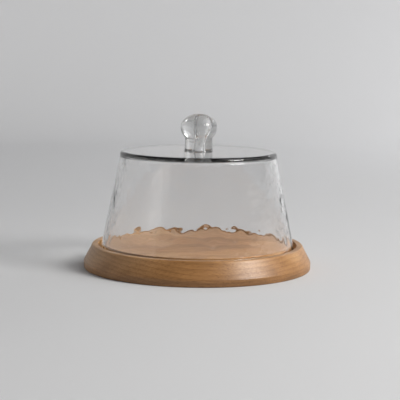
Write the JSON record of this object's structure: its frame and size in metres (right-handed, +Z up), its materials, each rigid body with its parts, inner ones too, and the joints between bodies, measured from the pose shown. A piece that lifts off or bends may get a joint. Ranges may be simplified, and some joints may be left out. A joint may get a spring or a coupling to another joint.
{
  "type": "cheese dome",
  "caption": "Cheese dome: a tapered glass dome with a round solid glass knob, standing in the groove round the board of a turned wooden base.",
  "frame": {"origin": "centre of the wooden base's flat underside", "axes": "+Z up along the turning axis of the base and the dome; +X and +Y level, with +X along the grain of the wood"},
  "size_m": [0.28, 0.28, 0.1892],
  "materials": {
    "wood": "satin oiled hardwood with a level grain",
    "dome_glass": "clear blown glass, smooth on top and hammered on the side",
    "knob_glass": "clear solid glass, fire-polished"
  },
  "bodies": {
    "base": {"wooden_base": "wood", "wooden_rim": "wood", "wooden_board": "wood"},
    "dome": {"glass_dome": "dome_glass", "glass_knob": "knob_glass"}
  },
  "joints": [
    {"name": "dome_lift", "type": "slide", "parent": "base", "child": "dome", "axis": [0, 0, 1], "range_m": [0, 0.2]}
  ]
}
